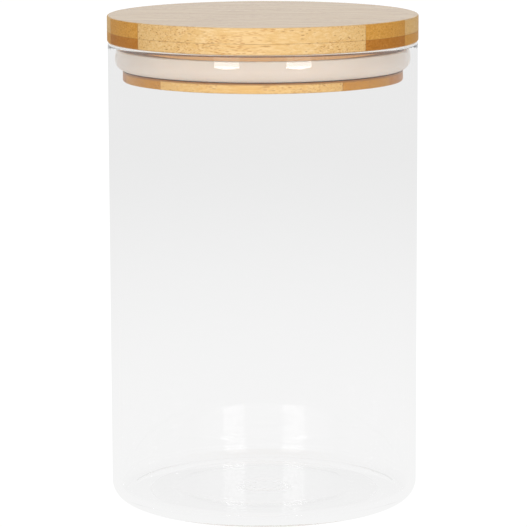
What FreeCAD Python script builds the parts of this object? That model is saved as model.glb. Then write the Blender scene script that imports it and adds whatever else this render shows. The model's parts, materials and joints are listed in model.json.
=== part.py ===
"""Food canister: a straight glass jar closed by a push-in lid of laminated bamboo with a silicone lip seal.

Frame: millimetres, +Z up, origin at the centre of the jar's foot, on the surface that it stands on, and -Y
the front. The lid is turned from one block of bamboo strips, glued four plies deep and six strips wide, and
each strip is its own solid. Every profile is a half section in (radius, height), turned about the Z axis.
"""

import FreeCAD, Part
import os
from math import hypot, sin, tan

# Jar
JAR_RADIUS = 50.0
JAR_HEIGHT = 150.0
WALL = 2.0
FLOOR = 2.7
FOOT_CORNER = 5.6  # outer radius between wall and foot
PUNT_RISE = 0.9  # how far the middle of the floor is pushed up
PUNT_TOP_RADIUS = 28.3
PUNT_FOOT_RADIUS = 40.0  # on the underside, which is flat from here out to the foot's corner
PUNT_BLEND = 40.0

# Plain moulded mark under the middle of the floor: a ring round eight pips
MARK_RING_RADIUS = 7.0
MARK_RING_WIDTH = 0.8
MARK_DEPTH = 0.2
PIP_COUNT = 8
PIP_RADIUS = 0.5
PIP_CIRCLE_RADIUS = 4.6

# Lid, from the top down
LID_TO_RIM = 0.1  # the lid's shoulder sits this far over the rim
LID_RADIUS = 50.2
DISC_THICKNESS = 8.5
PLUG_DEPTH = 12.4
NECK_RADIUS = 42.0
FLANGE_RADIUS = 45.2
FLANGE_THICKNESS = 3.3
TOP_EDGE = 0.5
SHOULDER_EDGE = 0.6
FLANGE_EDGE = 0.5
GROOVE_CORNER = 0.3  # left at the bottom and top of the groove by the turning tool

# Lamination
TOP_PLY = 5.0
STRIP_WIDTH = 17.3
FRONT_SEAM = 35.3  # distance from the axis to the front seam
STRIP_COUNT = 6
GRAIN_TURN = 5.75  # degrees that the strips are turned from the X axis, clockwise from above
PLY_NAMES = ("top_ply", "shoulder_ply", "neck_ply", "flange_ply")

# Seal ring: a band round the neck and one lip that bends out and up against the glass
SEAL_CLEARANCE = 0.05  # on the neck and over the flange
LIP_TO_GLASS = 0.3
SEAL_HEIGHT = 7.0
BAND_HEIGHT = 6.4
BAND_THICKNESS = 1.5
LIP_THICKNESS = 1.1
LIP_BEND = 4.0  # outer radius of the lip's bend
SEAL_WEB = 3.0  # solid part under the channel between band and lip

ORIGIN = FreeCAD.Vector(0, 0, 0)
UP = FreeCAD.Vector(0, 0, 1)
SHORTEST_EDGE = 1e-6

inner_radius = JAR_RADIUS - WALL
shoulder_z = JAR_HEIGHT + LID_TO_RIM
lid_top_z = shoulder_z + DISC_THICKNESS
plug_bottom_z = shoulder_z - PLUG_DEPTH
flange_top_z = plug_bottom_z + FLANGE_THICKNESS


def at(radius, z):
    """A point of a half section."""
    return FreeCAD.Vector(radius, 0, z)


def rounded_corner(before, corner, after, radius):
    """The arc of that radius in a corner of a half section, as its start, middle and end."""
    towards_before = (before - corner).normalize()
    towards_after = (after - corner).normalize()
    half_angle = towards_before.getAngle(towards_after) / 2
    run = radius / tan(half_angle)
    bisector = (towards_before + towards_after).normalize()
    centre = corner + bisector * (radius / sin(half_angle))
    start = corner + towards_before * run
    end = corner + towards_after * run
    return start, centre - bisector * radius, end


def section_edges(corners):
    """Edges of a closed half section. A corner is (radius, height) or (radius, height, rounding)."""
    points = [at(c[0], c[1]) for c in corners]
    roundings = [c[2] if len(c) > 2 else 0 for c in corners]
    stretches = []
    for i, point in enumerate(points):
        if roundings[i]:
            after = points[(i + 1) % len(points)]
            stretches.append(rounded_corner(points[i - 1], point, after, roundings[i]))
        else:
            stretches.append((point, point, point))
    edges = []
    for i, (start, middle, end) in enumerate(stretches):
        if roundings[i]:
            edges.append(Part.Arc(start, middle, end).toShape())
        following = stretches[(i + 1) % len(stretches)][0]
        if (following - end).Length > SHORTEST_EDGE:
            edges.append(Part.LineSegment(end, following).toShape())
    return edges


def turned(edges):
    """The solid that a closed half section sweeps about the Z axis."""
    face = Part.Face(Part.Wire(Part.__sortEdges__(edges)))
    return face.revolve(ORIGIN, UP, 360)


def glass_jar():
    """One piece of glass: wall, rounded rim, pushed-up floor and the mark under it."""
    under_z = PUNT_RISE
    rim_rounding = WALL / 2
    body = turned(section_edges([
        (0, under_z),
        (PUNT_TOP_RADIUS, under_z, PUNT_BLEND),
        (PUNT_FOOT_RADIUS, 0, PUNT_BLEND),
        (JAR_RADIUS, 0, FOOT_CORNER),
        (JAR_RADIUS, JAR_HEIGHT, rim_rounding),
        (inner_radius, JAR_HEIGHT, rim_rounding),
        (inner_radius, FLOOR, FOOT_CORNER - WALL),
        (PUNT_TOP_RADIUS, FLOOR + PUNT_RISE, PUNT_BLEND),
        (0, FLOOR + PUNT_RISE),
    ]))
    return body.fuse(floor_mark(under_z)).removeSplitter()


def floor_mark(under_z):
    """The raised ring and pips under the floor, sunk into the glass as deep as they stand out of it."""
    bottom = FreeCAD.Vector(0, 0, under_z - MARK_DEPTH)
    height = 2 * MARK_DEPTH
    outer = Part.makeCylinder(MARK_RING_RADIUS + MARK_RING_WIDTH / 2, height, bottom)
    inner = Part.makeCylinder(MARK_RING_RADIUS - MARK_RING_WIDTH / 2, height, bottom)
    pieces = [outer.cut(inner)]
    for i in range(PIP_COUNT):
        pip = Part.makeCylinder(PIP_RADIUS, height, bottom + FreeCAD.Vector(PIP_CIRCLE_RADIUS, 0, 0))
        pip.rotate(ORIGIN, UP, i * 360 / PIP_COUNT)
        pieces.append(pip)
    return Part.makeCompound(pieces)


def seal_ring():
    """The silicone ring, as it sits in the groove of the lid with its lip bent up by the glass."""
    bottom_z = flange_top_z + SEAL_CLEARANCE
    top_z = bottom_z + SEAL_HEIGHT
    web_z = bottom_z + SEAL_WEB
    band_inner = NECK_RADIUS + SEAL_CLEARANCE
    band_outer = band_inner + BAND_THICKNESS
    band_top_z = bottom_z + BAND_HEIGHT
    lip_outer = inner_radius - LIP_TO_GLASS
    lip_inner = lip_outer - LIP_THICKNESS
    tip_rounding = LIP_THICKNESS / 2
    return turned(section_edges([
        (band_inner, bottom_z, GROOVE_CORNER),  # rounded like the groove's own corner, so that it clears it
        (lip_outer, bottom_z, LIP_BEND),
        (lip_outer, top_z, tip_rounding),
        (lip_inner, top_z, tip_rounding),
        (lip_inner, web_z, LIP_BEND - LIP_THICKNESS),
        (band_outer, web_z),
        (band_outer, band_top_z),
        (band_inner, band_top_z),
    ]))


def lid_block():
    """The whole lid before it is divided: disc, groove for the seal, and flange."""
    return turned(section_edges([
        (0, plug_bottom_z),
        (FLANGE_RADIUS, plug_bottom_z, FLANGE_EDGE),
        (FLANGE_RADIUS, flange_top_z),
        (NECK_RADIUS, flange_top_z, GROOVE_CORNER),
        (NECK_RADIUS, shoulder_z, GROOVE_CORNER),
        (LID_RADIUS, shoulder_z, SHOULDER_EDGE),
        (LID_RADIUS, lid_top_z, TOP_EDGE),
        (0, lid_top_z),
    ]))


def ply_levels():
    """Heights of the glue lines between plies, from the lid's top down to its bottom."""
    lower_ply = (DISC_THICKNESS + PLUG_DEPTH - TOP_PLY) / (len(PLY_NAMES) - 1)
    return [lid_top_z, *(lid_top_z - TOP_PLY - i * lower_ply for i in range(len(PLY_NAMES)))]


def seam_distances():
    """How far in front of the axis the strips' long faces lie, from the front strip to the back one."""
    margin = 1.0
    seams = [FRONT_SEAM - i * STRIP_WIDTH for i in range(STRIP_COUNT - 1)]
    return [LID_RADIUS + margin, *seams, -LID_RADIUS - margin]


def lid_strips():
    """Every strip of the lid, as {node name: solid}, numbered from the front."""
    block = lid_block()
    levels = ply_levels()
    seams = seam_distances()
    length = 2 * hypot(LID_RADIUS, LID_RADIUS)
    strips = {}
    for ply, name in enumerate(PLY_NAMES):
        for strip in range(STRIP_COUNT):
            width = seams[strip] - seams[strip + 1]
            height = levels[ply] - levels[ply + 1]
            corner = FreeCAD.Vector(-length / 2, -seams[strip], levels[ply + 1])
            blank = Part.makeBox(length, width, height, corner)
            blank.rotate(ORIGIN, UP, -GRAIN_TURN)
            strips[f"{name}_strip_{strip + 1}"] = block.common(blank)
    return strips


def main():
    nodes = {"glass_jar": glass_jar(), "seal_ring": seal_ring(), **lid_strips()}
    os.makedirs("parts", exist_ok=True)
    for name, shape in nodes.items():
        solids = shape.Solids
        if len(solids) != 1 or not solids[0].isValid() or solids[0].Volume <= 0:
            raise ValueError(f"{name} is not one valid solid")
        solids[0].exportStep(f"parts/{name}.step")
        print(f"{name}: {solids[0].Volume / 1000:.2f} cm3")


main()
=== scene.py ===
import json
import math
import random

import bpy
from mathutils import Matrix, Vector


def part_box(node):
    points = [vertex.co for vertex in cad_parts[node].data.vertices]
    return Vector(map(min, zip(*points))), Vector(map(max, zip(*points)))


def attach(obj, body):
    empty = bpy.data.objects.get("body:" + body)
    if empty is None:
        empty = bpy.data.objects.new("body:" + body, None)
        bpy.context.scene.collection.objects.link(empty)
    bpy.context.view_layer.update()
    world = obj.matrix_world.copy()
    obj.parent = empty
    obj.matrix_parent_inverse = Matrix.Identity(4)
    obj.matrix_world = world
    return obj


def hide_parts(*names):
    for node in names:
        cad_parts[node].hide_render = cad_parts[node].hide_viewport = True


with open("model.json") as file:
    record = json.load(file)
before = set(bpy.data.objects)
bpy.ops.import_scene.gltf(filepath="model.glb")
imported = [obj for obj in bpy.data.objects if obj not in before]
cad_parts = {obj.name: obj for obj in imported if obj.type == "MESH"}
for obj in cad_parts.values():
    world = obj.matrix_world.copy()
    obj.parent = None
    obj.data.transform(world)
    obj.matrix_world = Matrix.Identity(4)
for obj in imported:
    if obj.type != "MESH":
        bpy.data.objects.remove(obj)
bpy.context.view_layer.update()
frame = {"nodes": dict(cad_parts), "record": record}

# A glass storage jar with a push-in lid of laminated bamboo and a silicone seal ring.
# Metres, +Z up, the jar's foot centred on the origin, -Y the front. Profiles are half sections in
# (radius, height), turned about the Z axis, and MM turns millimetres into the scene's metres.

MM = 0.001

# ---------------------------------------------------------------- sizes, from the frame where it has them

jar_top_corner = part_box("glass_jar")[1]
JAR_RADIUS = jar_top_corner.x
JAR_HEIGHT = jar_top_corner.z
WALL = 2.0 * MM
FLOOR = 2.7 * MM
FOOT_CORNER = 5.6 * MM  # outer radius between wall and foot
PUNT_RISE = 0.9 * MM  # how far the middle of the floor is pushed up
PUNT_TOP_RADIUS = 28.3 * MM
PUNT_FOOT_RADIUS = 40.0 * MM
PUNT_BLEND = 40.0 * MM  # roundings of the pushed-up floor, on its underside
FLOOR_BLEND = 24.0 * MM  # and on its upper side
CREASE_DEPTH = 0.5 * MM  # a fine line round the floor, at the foot of the wall's inner corner
CREASE_WIDTH = 0.6 * MM
RIM_OUTSIDE = 0.5 * MM  # heights over which the fire-polished rim rounds off, outside and inside
RIM_INSIDE = 1.1 * MM
RIM_STEPS = 28
HEEL_STEPS = 24  # of the arc between the wall's inside and the floor
JAR_SEGMENTS = 384
JAR_STRETCH = 2.5 * MM  # the longest straight stretch of the jar's outline
PIP_STRETCH = 0.1 * MM  # and the longest one near the pips
WALL_WAVE = 0.012 * MM  # unevenness of the wall's inside
WAVE_END = 16 * MM  # how far under the rim it starts to fade out
WAVE_NONE = 12 * MM  # and how far under the rim it has gone
NEAR_WALL = 0.4 * MM

MARK_RING_RADIUS = 7.0 * MM
MARK_RING_WIDTH = 0.8 * MM
MARK_DEPTH = 0.2 * MM
PIP_COUNT = 8
PIP_RADIUS = 0.5 * MM
PIP_CIRCLE_RADIUS = 4.6 * MM
PIP_REACH = PIP_CIRCLE_RADIUS + 4 * PIP_RADIUS  # the underside has a fine mesh out to here

NECK_RADIUS = 42.0 * MM
SEAL_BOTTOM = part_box("seal_ring")[0].z
SEAL_TOP = SEAL_BOTTOM + 7.0 * MM
SEAL_CLEARANCE = 0.05 * MM
SEAL_SEGMENTS = 320
SEAL_STRETCH = 0.5 * MM
BAND_THICKNESS = 1.5 * MM
BAND_HEIGHT = 6.4 * MM
LIP_OUTER = JAR_RADIUS - WALL - 0.3 * MM
LIP_THICKNESS = 1.1 * MM
LIP_BEND = 4.0 * MM  # outer radius of the lip's bend
LIP_WAVE = 0.03 * MM  # how far the lip's two waves draw it in, and how strong the second one is
SECOND_WAVE = 0.7
LIP_FOOT = 2 * MM  # over the seal's bottom, where the lip starts to wave
WAVE_START_RADIUS = 44 * MM
WAVE_FULL_RADIUS = 46.5 * MM
SEAL_WEB = 3.0 * MM  # solid part under the channel between band and lip
SEAL_EDGE = 0.25 * MM
ALMOST = 0.999  # keeps two roundings that meet from sharing a point

GRAIN_TURN = math.radians(5.75)
PLIES = ("top_ply", "shoulder_ply", "neck_ply", "flange_ply")
STRIP_COUNT = 6

CORNER_STEPS = 14
ON_AXIS = 1e-9  # a point nearer the axis than this is on it

# ---------------------------------------------------------------- outlines and turned meshes


def arc(centre, radius, start, end, steps):
    """Points along an arc in the (radius, height) plane, ends included."""
    angles = [start + (end - start) * i / steps for i in range(steps + 1)]
    return [(centre[0] + radius * math.cos(a), centre[1] + radius * math.sin(a)) for a in angles]


def rounded(before, corner, after, radius, steps):
    """Points along the arc of that radius in a corner of an outline."""
    corner = Vector(corner)
    to_before = (Vector(before) - corner).normalized()
    to_after = (Vector(after) - corner).normalized()
    half_angle = to_before.angle(to_after) / 2
    centre = corner + (to_before + to_after).normalized() * (radius / math.sin(half_angle))
    run = radius / math.tan(half_angle)
    first = corner + to_before * run - centre
    last = corner + to_after * run - centre
    start = math.atan2(first.y, first.x)
    turn = math.remainder(math.atan2(last.y, last.x) - start, 2 * math.pi)
    return arc(centre, radius, start, start + turn, steps)


def outline(corners):
    """A closed outline from (radius, height, rounding) corners."""
    points = []
    for i, (r, z, rounding) in enumerate(corners):
        before = corners[i - 1][:2]
        after = corners[(i + 1) % len(corners)][:2]
        points += rounded(before, (r, z), after, rounding, CORNER_STEPS) if rounding else [(r, z)]
    return points


def filled_in(points, longest, closed=True):
    """The same outline with its long straight stretches divided."""
    dense = []
    count = len(points) if closed else len(points) - 1
    for i in range(count):
        (r0, z0), (r1, z1) = points[i], points[(i + 1) % len(points)]
        parts = max(1, math.ceil(math.hypot(r1 - r0, z1 - z0) / longest))
        dense += [(r0 + (r1 - r0) * k / parts, z0 + (z1 - z0) * k / parts) for k in range(parts)]
    return dense if closed else dense + [points[-1]]


def turned(name, points, segments, shift, closed=True):
    """A smooth mesh object: the outline turned about Z. shift(r, z, angle) moves each point a little."""
    verts = []
    rows = []
    for r, z in points:
        if r < ON_AXIS:
            rows.append([len(verts)])
            verts.append((0, 0, z))
            continue
        rows.append(list(range(len(verts), len(verts) + segments)))
        for k in range(segments):
            angle = 2 * math.pi * k / segments
            moved_r, moved_z = shift(r, z, angle)
            verts.append((moved_r * math.cos(angle), moved_r * math.sin(angle), moved_z))
    faces = []
    count = len(rows) if closed else len(rows) - 1
    for i in range(count):
        low, high = rows[i], rows[(i + 1) % len(rows)]
        if len(low) == 1 and len(high) == 1:
            continue
        for k in range(segments):
            n = (k + 1) % segments
            if len(low) == 1:
                faces.append((low[0], high[n], high[k]))
            elif len(high) == 1:
                faces.append((low[k], low[n], high[0]))
            else:
                faces.append((low[k], low[n], high[n], high[k]))
    mesh = bpy.data.meshes.new(name)
    mesh.from_pydata(verts, [], faces)
    mesh.validate()
    mesh.shade_smooth()
    piece = bpy.data.objects.new(name, mesh)
    bpy.context.scene.collection.objects.link(piece)
    return piece


def smooth_step(low, high, value):
    """0 below low, 1 above high and a smooth rise between."""
    t = min(1.0, max(0.0, (value - low) / (high - low)))
    return t * t * (3 - 2 * t)


# ---------------------------------------------------------------- nodes for materials and the world


class Nodes:
    """Short ways to add nodes to a tree."""

    def __init__(self, tree):
        self.tree = tree

    def node(self, kind, inputs=None, **settings):
        """A node of that kind. inputs sets or links its sockets, by name or number."""
        made = self.tree.nodes.new(kind)
        for key, value in settings.items():
            setattr(made, key, value)
        for key, value in (inputs or {}).items():
            self.feed(made.inputs[key], value)
        return made

    def feed(self, socket, value):
        """Links a socket to another one, or sets its value."""
        if isinstance(value, bpy.types.NodeSocket):
            self.tree.links.new(value, socket)
        else:
            socket.default_value = value

    def math(self, operation, a, b=0.0, clamp=False):
        made = self.node("ShaderNodeMath", {0: a, 1: b}, operation=operation)
        made.use_clamp = clamp
        return made.outputs[0]

    def split(self, vector):
        return self.node("ShaderNodeSeparateXYZ", {0: vector}).outputs

    def ramp(self, value, low, high, to_low=0.0, to_high=1.0):
        """value taken smoothly from low..high to to_low..to_high."""
        inputs = {"Value": value, "From Min": low, "From Max": high, "To Min": to_low, "To Max": to_high}
        return self.node("ShaderNodeMapRange", inputs, interpolation_type="SMOOTHSTEP").outputs[0]


class Shader(Nodes):
    """A material with a Principled shader, and short ways to add the nodes that drive it."""

    def __init__(self, name):
        self.material = bpy.data.materials.new(name)
        self.material.use_nodes = True
        super().__init__(self.material.node_tree)
        self.bsdf = self.tree.nodes["Principled BSDF"]

    def set(self, **inputs):
        """Sets or links the Principled shader's sockets, with _ for a space."""
        for key, value in inputs.items():
            self.feed(self.bsdf.inputs[key.replace("_", " ")], value)

    def object_point(self):
        return self.node("ShaderNodeTexCoord").outputs["Object"]

    def object_normal(self):
        return self.node("ShaderNodeTexCoord").outputs["Normal"]

    def placed(self, point, scale=(1, 1, 1), turn=0.0, offset=(0, 0, 0)):
        inputs = {"Vector": point, "Scale": scale, "Rotation": (0, 0, turn), "Location": offset}
        return self.node("ShaderNodeMapping", inputs).outputs[0]

    def noise(self, point, scale=1.0, detail=2.0, roughness=0.5):
        inputs = {"Vector": point, "Scale": scale, "Detail": detail, "Roughness": roughness}
        return self.node("ShaderNodeTexNoise", inputs).outputs[0]

    def cells(self, point, jitter):
        """The distance to the nearest of many scattered points."""
        inputs = {"Vector": point, "Scale": 1.0, "Randomness": jitter}
        return self.node("ShaderNodeTexVoronoi", inputs).outputs["Distance"]

    def mix(self, share, a, b):
        """Two colours mixed. Sockets 6 and 7 are the node's colours, and 2 the colour that comes out."""
        made = self.node("ShaderNodeMix", {0: share}, data_type="RGBA", blend_type="MIX")
        self.feed(made.inputs[6], a)
        self.feed(made.inputs[7], b)
        return made.outputs[2]

    def bump(self, height, strength, distance):
        inputs = {"Height": height, "Strength": strength, "Distance": distance}
        return self.node("ShaderNodeBump", inputs).outputs[0]


# ---------------------------------------------------------------- glass and silicone

WHITE = (1, 1, 1, 1)
BLACK = (0, 0, 0, 1)

STRIAE_SCALE = (260, 260, 9)  # per metre: fine lines that run up the wall, and broad ripples
RIPPLE_SCALE = (30, 30, 14)

SILICONE_LOW = (0.67, 0.57, 0.48, 1)
SILICONE_HIGH = (0.72, 0.62, 0.53, 1)
SILICONE_DUST = (0.78, 0.71, 0.64, 1)
# painted shade: the greyer colour on the seal's left and right, where less light falls
SILICONE_SIDE_SHADE = (0.50, 0.45, 0.40, 1)


def clear_glass():
    """Clear borosilicate with the faint upright striae of drawn tube."""
    s = Shader("clear_glass")
    point = s.object_point()
    striae = s.noise(s.placed(point, scale=STRIAE_SCALE), detail=3.0)
    ripple = s.noise(s.placed(point, scale=RIPPLE_SCALE), detail=1.0)
    height = s.math("ADD", s.math("MULTIPLY", striae, 0.25), ripple)
    smudge = s.ramp(s.noise(point, scale=38, detail=4.0), 0.58, 0.8, 0.0, 0.035)
    s.set(Base_Color=WHITE, IOR=1.47, Transmission_Weight=1.0)
    s.set(Roughness=smudge, Normal=s.bump(height, 0.06, 0.3 * MM))
    return s.material


def milky_silicone():
    """Translucent satin silicone, slightly dusty and warm. Its left and right are painted greyer, a painted
    shade for the sides that the front light reaches less.
    """
    s = Shader("milky_silicone")
    point = s.object_point()
    cloud = s.noise(point, scale=70, detail=3.0)
    dust = s.ramp(s.noise(point, scale=900, detail=2.0), 0.62, 0.78)
    # painted shade: greys the faces that turn left and right, standing in for the front lighting
    side_shade = s.ramp(s.math("ABSOLUTE", s.split(s.object_normal())[0]), 0.5, 1.0, 0.0, 0.35)
    colour = s.mix(cloud, SILICONE_LOW, SILICONE_HIGH)
    colour = s.mix(s.math("MULTIPLY", dust, 0.2), colour, SILICONE_DUST)
    colour = s.mix(side_shade, colour, SILICONE_SIDE_SHADE)
    s.set(Base_Color=colour, IOR=1.41, Roughness=s.ramp(cloud, 0.2, 0.8, 0.48, 0.6))
    s.set(Subsurface_Weight=0.8, Subsurface_Radius=(1.0, 0.8, 0.65), Subsurface_Scale=3.0 * MM)
    s.set(Normal=s.bump(s.noise(point, scale=420, detail=3.0), 0.08, 0.05 * MM))
    return s.material


# ---------------------------------------------------------------- bamboo

TONES = {  # light and dark
    "bamboo_pale": ((0.86, 0.63, 0.34), (0.74, 0.47, 0.19)),
    "bamboo_honey": ((0.79, 0.43, 0.11), (0.60, 0.28, 0.05)),
    "bamboo_amber": ((0.62, 0.27, 0.055), (0.44, 0.165, 0.022)),
}
END_GRAIN = {  # where the fibres are cut across
    "bamboo_pale": (0.46, 0.25, 0.05),
    "bamboo_honey": (0.42, 0.20, 0.035),
    "bamboo_amber": (0.28, 0.10, 0.012),
}
PLUG_TINT = {  # multiplies the tones of the flange, which the photo shows through the glass
    "bamboo_pale": (1.0, 0.93, 0.74),
    "bamboo_honey": (0.86, 0.74, 0.42),
    "bamboo_amber": (1.2, 1.15, 0.9),
}
NO_TINT = (1, 1, 1)
PORE_SHADE = 0.45  # of the dark tone
TOP_LIGHT = (0.88, 0.60, 0.28, 1)  # the sanded top, where all strips have nearly one tone
TOP_DARK = (0.66, 0.41, 0.16, 1)
RAW_LIGHT = (0.66, 0.45, 0.24, 1)  # unlacquered: the neck and the undersides
RAW_DARK = (0.54, 0.34, 0.16, 1)
FLECK = (0.50, 0.22, 0.07, 1)
FIBRE_BROWN = (0.30, 0.12, 0.03, 1)
# the brown of the glue lines, and also of the painted shadow lines under the seal and on the disc's lower
# edge
GLUE_AND_SHADOW_BROWN = (0.30, 0.13, 0.04, 1)
NECK_PAINTED_LIGHT = (0.42, 0.25, 0.12, 1)  # painted light: a glow on the neck, which is no lamp, standing in for light that reaches the groove; chosen to bring the dark band over the seal nearer the photo's colour

# Scales of the patterns along the grain, across it and upwards, per millimetre
BROAD = (0.012, 0.16, 0.22)
STREAKS = (0.045, 1.5, 1.7)
FINE = (0.11, 9.0, 9.0)
BUNDLES = (0.030, 1.25, 1.35)
BREAKS = (0.22, 0.9, 0.9)
TIPS = (0.38, 2.1, 2.6)
PATCHES = (0.03, 0.12, 0.2)
PORES = (0.03, 1.9, 2.0)

GLUE_LINE = (0.04, 0.15)  # half widths in millimetres: full inside the first, none outside the second
PLUG_SHADOW = (-0.9 * MM, -0.3 * MM)  # a painted shadow line on the plug, by height over the seal's bottom
SHOULDER_SHADOW = (0.1 * MM, 0.5 * MM)  # and one on the disc's lower edge, by height over that edge


def strip_points(node):
    return [v.co for v in frame["nodes"][node].data.vertices]


def glue_line(s, node, grain, broken):
    """1 at the faces that the strip is glued by, and 0 elsewhere. grain is in millimetres."""
    ply, strip = node.rsplit("_strip_", 1)
    _, across, height = s.split(grain)
    points = strip_points(node)
    depths = [(p.x * math.sin(GRAIN_TURN) + p.y * math.cos(GRAIN_TURN)) / MM for p in points]
    heights = [p.z / MM for p in points]
    lines = []
    if ply != PLIES[0]:
        lines.append((height, max(heights)))
    if ply != PLIES[-1]:
        lines.append((height, min(heights)))
    if int(strip) != 1:
        lines.append((across, min(depths)))
    if int(strip) != STRIP_COUNT:
        lines.append((across, max(depths)))
    total = None
    for value, place in lines:
        near = s.ramp(s.math("ABSOLUTE", s.math("SUBTRACT", value, place)), *GLUE_LINE, 1.0, 0.0)
        total = near if total is None else s.math("MAXIMUM", total, near)
    return s.math("MULTIPLY", total, s.ramp(broken, 0.3, 0.6, 0.35, 1.0))


def shadow_line(s, node, base):
    """The colour with a painted shadow line on it: on the plug under the seal, or on the disc's lower edge.
    """
    height = s.split(s.object_point())[2]
    if node.startswith("flange_ply"):
        low, high = (SEAL_BOTTOM + z for z in PLUG_SHADOW)
        return s.mix(s.ramp(height, low, high, 0.0, 0.95), base, GLUE_AND_SHADOW_BROWN)
    if node.startswith("shoulder_ply"):
        edge = min(p.z for p in strip_points(node))
        low, high = (edge + z for z in SHOULDER_SHADOW)
        return s.mix(s.ramp(height, low, high, 0.55, 0.0), base, GLUE_AND_SHADOW_BROWN)
    return base


def bamboo(node, tone, seed):
    """Laminated bamboo for one strip: fibres along the grain, which show as dots where they are cut."""
    s = Shader(node + "_bamboo")
    rng = random.Random(seed)
    tint = PLUG_TINT[tone] if node.startswith("flange_ply") else NO_TINT
    light, dark = ((*(a * b for a, b in zip(colour, tint)), 1) for colour in TONES[tone])
    grain = s.placed(s.object_point(), scale=(1 / MM, 1 / MM, 1 / MM), turn=GRAIN_TURN)
    shifted = s.placed(grain, offset=tuple(rng.uniform(100, 900) for _ in range(3)))

    broad = s.noise(s.placed(shifted, scale=BROAD), detail=3.0)
    streak = s.noise(s.placed(shifted, scale=STREAKS), detail=6.0, roughness=0.68)
    fine = s.noise(s.placed(shifted, scale=FINE), detail=3.0)
    broken = s.noise(s.placed(shifted, scale=BREAKS), detail=2.0)
    core = s.ramp(s.cells(s.placed(shifted, scale=BUNDLES), jitter=0.85), 0.16, 0.34, 1.0, 0.0)
    core = s.math("MULTIPLY", core, s.ramp(broken, 0.42, 0.62), clamp=True)
    tip = s.ramp(s.cells(s.placed(shifted, scale=TIPS), jitter=0.9), 0.22, 0.40, 1.0, 0.0)
    patch = s.ramp(s.noise(s.placed(shifted, scale=PATCHES), detail=1.0), 0.42, 0.54)
    pore = s.ramp(s.cells(s.placed(shifted, scale=PORES), jitter=0.8), 0.15, 0.42, 0.4, 0.0)

    along = s.split(s.placed(s.object_normal(), turn=GRAIN_TURN))[0]
    end_grain = s.math("POWER", s.math("ABSOLUTE", along), 1.6)
    upward = s.split(s.object_normal())[2]
    top = s.ramp(upward, 0.5, 0.9)
    raw = 1.0 if node.startswith("neck_ply") else s.ramp(upward, -0.9, -0.5, 1.0, 0.0)
    light = s.mix(raw, s.mix(top, light, TOP_LIGHT), RAW_LIGHT)
    dark = s.mix(raw, s.mix(top, dark, TOP_DARK), RAW_DARK)

    base = s.mix(s.ramp(streak, 0.34, 0.68), dark, light)
    base = s.mix(s.ramp(broad, 0.3, 0.7, 0.0, 0.35), base, dark)
    base = s.mix(s.ramp(fine, 0.55, 0.8, 0.0, 0.38), base, FIBRE_BROWN)
    base = s.mix(s.math("MULTIPLY", core, s.ramp(end_grain, 0.1, 0.7, 0.55, 0.95)), base, FIBRE_BROWN)
    base = s.mix(s.math("MULTIPLY", s.math("MULTIPLY", tip, patch), 0.7), base, FLECK)
    base = s.mix(s.math("MULTIPLY", end_grain, 0.52), base, (*END_GRAIN[tone], 1))
    base = s.mix(s.math("MULTIPLY", pore, end_grain), base, (*(c * PORE_SHADE for c in TONES[tone][1]), 1))
    base = s.mix(s.math("MULTIPLY", glue_line(s, node, grain, broken), 0.62), base, GLUE_AND_SHADOW_BROWN)
    base = shadow_line(s, node, base)

    relief = s.math("SUBTRACT", s.math("MULTIPLY", fine, 0.5), core)
    s.set(Base_Color=base, IOR=1.5, Specular_IOR_Level=0.04)
    s.set(Coat_Weight=s.math("MULTIPLY", top, 0.9), Coat_Roughness=0.2)
    s.set(Roughness=s.ramp(streak, 0.3, 0.7, 0.50, 0.38), Normal=s.bump(relief, 0.12, 0.08 * MM))
    # painted light: the neck glows, standing in for light that reaches the groove through the glass
    if node.startswith("neck_ply"):
        s.set(Emission_Color=NECK_PAINTED_LIGHT, Emission_Strength=1.0)
    return s.material


# ---------------------------------------------------------------- pieces


def rim_corner(inner, angle):
    """A point of the rim, from 0 at its outside, over its top, to half a turn at its inside."""
    tall = RIM_OUTSIDE if angle < math.pi / 2 else RIM_INSIDE
    return inner + WALL / 2 * (1 + math.cos(angle)), JAR_HEIGHT - tall * (1 - math.sin(angle)), 0


def jar_outline():
    """From the middle of the underside out, up the wall, over the rim and back to the middle of the floor."""
    inner = JAR_RADIUS - WALL
    inner_corner = FOOT_CORNER - WALL
    heel = inner - inner_corner
    corners = [
        (0, PUNT_RISE, 0),
        (MARK_RING_RADIUS - MARK_RING_WIDTH, PUNT_RISE, 0),
        (MARK_RING_RADIUS, PUNT_RISE - MARK_DEPTH, MARK_RING_WIDTH / 2),
        (MARK_RING_RADIUS + MARK_RING_WIDTH, PUNT_RISE, 0),
        (PUNT_TOP_RADIUS, PUNT_RISE, PUNT_BLEND),
        (PUNT_FOOT_RADIUS, 0, PUNT_BLEND),
        (JAR_RADIUS, 0, FOOT_CORNER),
        *(rim_corner(inner, math.pi * i / RIM_STEPS) for i in range(RIM_STEPS + 1)),
        *((r, z, 0) for r, z in arc((heel, FLOOR + inner_corner), inner_corner, 0, -math.pi / 2, HEEL_STEPS)),
        (heel - CREASE_WIDTH, FLOOR - CREASE_DEPTH, CREASE_WIDTH / 2),
        (PUNT_TOP_RADIUS, FLOOR + PUNT_RISE, FLOOR_BLEND),
        (0, FLOOR + PUNT_RISE, 0),
    ]
    coarse = filled_in(outline(corners), JAR_STRETCH, closed=False)
    fine = []
    for start, end in zip(coarse, coarse[1:]):
        if max(start[0], end[0]) < PIP_REACH and max(start[1], end[1]) < FLOOR:
            fine += filled_in([start, end], PIP_STRETCH, closed=False)[:-1]
        else:
            fine.append(start)
    return fine + [coarse[-1]]


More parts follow.
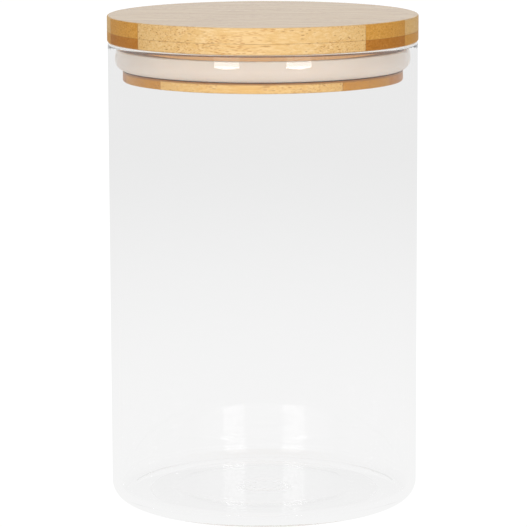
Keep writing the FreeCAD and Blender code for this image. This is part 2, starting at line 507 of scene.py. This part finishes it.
def glass_shift(r, z, angle):
    """The pips under the floor, and the slight unevenness of the wall's inside."""
    if r < MARK_RING_RADIUS and z < FLOOR:
        for i in range(PIP_COUNT):
            pip = 2 * math.pi * i / PIP_COUNT
            away = math.hypot(r * math.cos(angle) - PIP_CIRCLE_RADIUS * math.cos(pip),
                              r * math.sin(angle) - PIP_CIRCLE_RADIUS * math.sin(pip))
            if away < PIP_RADIUS:
                z -= MARK_DEPTH * math.sqrt(1 - (away / PIP_RADIUS) ** 2)
    if abs(r - (JAR_RADIUS - WALL)) < NEAR_WALL and z > FLOOR:
        wave = math.sin(7 * angle + 0.6) + 0.6 * math.sin(13 * angle + 2.0) + 0.4 * math.sin(29 * angle)
        r += WALL_WAVE * wave * (1 - smooth_step(JAR_HEIGHT - WAVE_END, JAR_HEIGHT - WAVE_NONE, z))
    return r, z


def make_jar():
    jar = turned("glass_jar_smooth", jar_outline(), JAR_SEGMENTS, glass_shift, closed=False)
    jar.data.materials.append(clear_glass())
    hide_from(jar, "shadow", "diffuse")
    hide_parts("glass_jar")
    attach(jar, "jar")


def seal_outline():
    """Band, channel and lip: the lip leans out from its foot and stands upright against the glass."""
    bottom, top = SEAL_BOTTOM, SEAL_TOP
    lip_inner = LIP_OUTER - LIP_THICKNESS
    tip = LIP_THICKNESS / 2 * ALMOST
    band_inner = NECK_RADIUS + SEAL_CLEARANCE
    band_outer = band_inner + BAND_THICKNESS
    return filled_in(outline([
        (band_inner, bottom, SEAL_EDGE),
        (LIP_OUTER, bottom, LIP_BEND),
        (LIP_OUTER, top, tip),
        (lip_inner, top, tip),
        (lip_inner, bottom + SEAL_WEB, LIP_BEND - LIP_THICKNESS),
        (band_outer, bottom + SEAL_WEB, 0),
        (band_outer, bottom + BAND_HEIGHT, SEAL_EDGE),
        (band_inner, bottom + BAND_HEIGHT, SEAL_EDGE),
    ]), SEAL_STRETCH)


def seal_shift(r, z, angle):
    """The lip's slight waviness under the glass's press, which only ever draws it in."""
    up = smooth_step(SEAL_BOTTOM + LIP_FOOT, SEAL_TOP, z)
    out = smooth_step(WAVE_START_RADIUS, WAVE_FULL_RADIUS, r)
    wave = math.sin(5 * angle + 1.0) + SECOND_WAVE * math.sin(11 * angle + 0.3)
    return r - LIP_WAVE * up * out * (1 + SECOND_WAVE - wave), z


def make_seal():
    seal = turned("seal_ring_smooth", seal_outline(), SEAL_SEGMENTS, seal_shift)
    seal.data.materials.append(milky_silicone())
    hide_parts("seal_ring")
    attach(seal, "seal")


def dress_lid():
    """The lid's strips stay the CAD solids and only get their materials."""
    tones = {part["node"]: part["material_slot"] for part in frame["record"]["subparts"]}
    for p, ply in enumerate(PLIES):
        for strip in range(1, STRIP_COUNT + 1):
            node = f"{ply}_strip_{strip}"
            material = bamboo(node, tones[node], seed=100 * p + strip)
            for place in frame["nodes"][node].material_slots:
                place.material = material


# ---------------------------------------------------------------- floor, ceiling and room

STAGE_RADIUS = 6.0
STAGE_SIDES = 96
FLOOR_DROP = 0.05 * MM  # keeps the white backdrop clear of the jar's foot
TABLE_CONTACT = 0.2 * MM  # how far the table reaches into the foot, whose edge is thick and black without it
TABLE_LOW = (0.02, 0.02, 0.02, 1)
TABLE_HIGH = (0.03, 0.03, 0.03, 1)
NEAR_GLOW = 0.90  # the table's brightness up to NEAR from its middle, and from FAR on
FAR_GLOW = 0.81
NEAR = 0.05
FAR = 0.9
BACKDROP_WHITE = 1.05
CEILING_GLOW = 0.8
CEILING_HEIGHT = 1.5
CEILING_RADIUS = 4.2

ROOM_GLOW = 0.82  # level with the jar and below
OVERHEAD_GLOW = 0.55
FRONT_GLOW = 1.29
BACK_GLOW = 0.1


def flat_disc(name, radius, height, material):
    corners = [2 * math.pi * k / STAGE_SIDES for k in range(STAGE_SIDES)]
    points = [(radius * math.cos(a), radius * math.sin(a), 0) for a in corners]
    mesh = bpy.data.meshes.new(name)
    mesh.from_pydata(points, [], [tuple(range(STAGE_SIDES))])
    mesh.materials.append(material)
    disc = bpy.data.objects.new(name, mesh)
    disc.location.z = height
    bpy.context.scene.collection.objects.link(disc)
    return disc


def hide_from(piece, *rays):
    for ray in rays:
        setattr(piece, "visible_" + ray, False)


def pale_table():
    """A table that glows by itself, a little less farther away."""
    s = Shader("pale_table")
    point = s.object_point()
    away = s.node("ShaderNodeVectorMath", {0: point}, operation="LENGTH").outputs["Value"]
    speckle = s.noise(point, scale=60, detail=3.0)
    s.set(Base_Color=s.mix(speckle, TABLE_LOW, TABLE_HIGH), Roughness=0.9, Specular_IOR_Level=0.0)
    s.set(Emission_Color=WHITE, Emission_Strength=s.ramp(away, NEAR, FAR, NEAR_GLOW, FAR_GLOW))
    return s.material


def white_glow(name, strength):
    s = Shader(name)
    s.set(Base_Color=BLACK, Specular_IOR_Level=0.0, Emission_Color=WHITE, Emission_Strength=strength)
    return s.material


def make_floor():
    """A pale table that lights the object and shows in the glass, and a white one for the camera alone."""
    table = flat_disc("pale_floor", STAGE_RADIUS, TABLE_CONTACT, pale_table())
    hide_from(table, "camera")
    backdrop = white_glow("white_backdrop", BACKDROP_WHITE)
    white = flat_disc("white_floor", STAGE_RADIUS, -FLOOR_DROP, backdrop)
    hide_from(white, "diffuse", "glossy", "transmission", "shadow", "volume_scatter")


def make_ceiling():
    """A pale ceiling, which only reflections and what is seen through the glass take in."""
    glow = white_glow("pale_ceiling", CEILING_GLOW)
    ceiling = flat_disc("pale_ceiling", CEILING_RADIUS, CEILING_HEIGHT, glow)
    hide_from(ceiling, "camera", "diffuse", "shadow", "volume_scatter")


def make_world():
    """A pale room: brightest in front, even round the jar and below it, and dimmer higher up."""
    world = bpy.data.worlds.new("studio")
    world.use_nodes = True
    bpy.context.scene.world = world
    background = world.node_tree.nodes["Background"]
    background.inputs["Color"].default_value = WHITE
    n = Nodes(world.node_tree)
    _, backward, upward = n.split(n.node("ShaderNodeTexCoord").outputs["Generated"])
    level = n.ramp(upward, 0.33, 0.5, ROOM_GLOW, 0.0)
    overhead = n.ramp(upward, 0.4, 0.85, 0.0, OVERHEAD_GLOW)
    front = n.ramp(backward, -0.8, -0.1, FRONT_GLOW, BACK_GLOW)
    brightest = n.math("MAXIMUM", level, n.math("MAXIMUM", overhead, front))
    n.feed(background.inputs["Strength"], brightest)


# ---------------------------------------------------------------- lamps and camera

SOFTBOX_DISTANCE = 0.563
SOFTBOX_BEARING = math.radians(25.3)  # to each side of straight ahead
SOFTBOX_WIDTH = 0.178
SOFTBOX_LOW = 0.0917
SOFTBOX_HEIGHT = 0.56
SOFTBOX_POWER = 0.42
SILL_HEIGHT = 0.024  # a brighter strip along each softbox's low end
SILL_POWER = 0.085

CAMERA_DISTANCE = 1.0034
CAMERA_HEIGHT = 0.2460
CAMERA_PITCH = math.radians(9.56)
CAMERA_ROLL = math.radians(-0.193)
CAMERA_LENS = 212.84
CAMERA_NEAR = 0.01
SENSOR = 36.0

TRANSMISSION_BOUNCES = 64  # the glass needs many: light runs along its wall
GLOSSY_BOUNCES = 128
MOST_BOUNCES = 160


def make_softboxes():
    """Two upright softboxes, one each side of the camera."""
    box = (SOFTBOX_LOW + SILL_HEIGHT, SOFTBOX_HEIGHT, SOFTBOX_POWER)
    sill = (SOFTBOX_LOW, SILL_HEIGHT, SILL_POWER)
    for side, end in ((-1, "left"), (1, "right")):
        bearing = side * SOFTBOX_BEARING
        across = SOFTBOX_DISTANCE * math.sin(bearing)
        ahead = -SOFTBOX_DISTANCE * math.cos(bearing)
        for name, (low, height, power) in (("softbox_" + end, box), ("sill_" + end, sill)):
            light = bpy.data.lights.new(name, "AREA")
            light.shape = "RECTANGLE"
            light.size = SOFTBOX_WIDTH
            light.size_y = height
            light.energy = power
            holder = bpy.data.objects.new(name, light)
            holder.location = (across, ahead, low + height / 2)
            holder.rotation_euler = (math.pi / 2, 0, bearing)
            bpy.context.scene.collection.objects.link(holder)


def make_camera():
    """The camera, where a perspective fit to the photo's outlines puts it."""
    data = bpy.data.cameras.new("camera")
    data.sensor_width = SENSOR
    data.lens = CAMERA_LENS
    data.clip_start = CAMERA_NEAR
    camera = bpy.data.objects.new("camera", data)
    camera.location = (0, -CAMERA_DISTANCE, CAMERA_HEIGHT)
    camera.rotation_euler = (math.pi / 2 - CAMERA_PITCH, 0, 0)
    camera.rotation_euler.rotate_axis("Z", CAMERA_ROLL)
    bpy.context.scene.collection.objects.link(camera)
    bpy.context.scene.camera = camera


def main():
    make_jar()
    make_seal()
    dress_lid()
    make_floor()
    make_ceiling()
    make_world()
    make_softboxes()
    make_camera()
    scene = bpy.context.scene
    scene.view_settings.view_transform = "Standard"
    scene.cycles.transmission_bounces = TRANSMISSION_BOUNCES
    scene.cycles.glossy_bounces = GLOSSY_BOUNCES
    scene.cycles.max_bounces = MOST_BOUNCES


main()
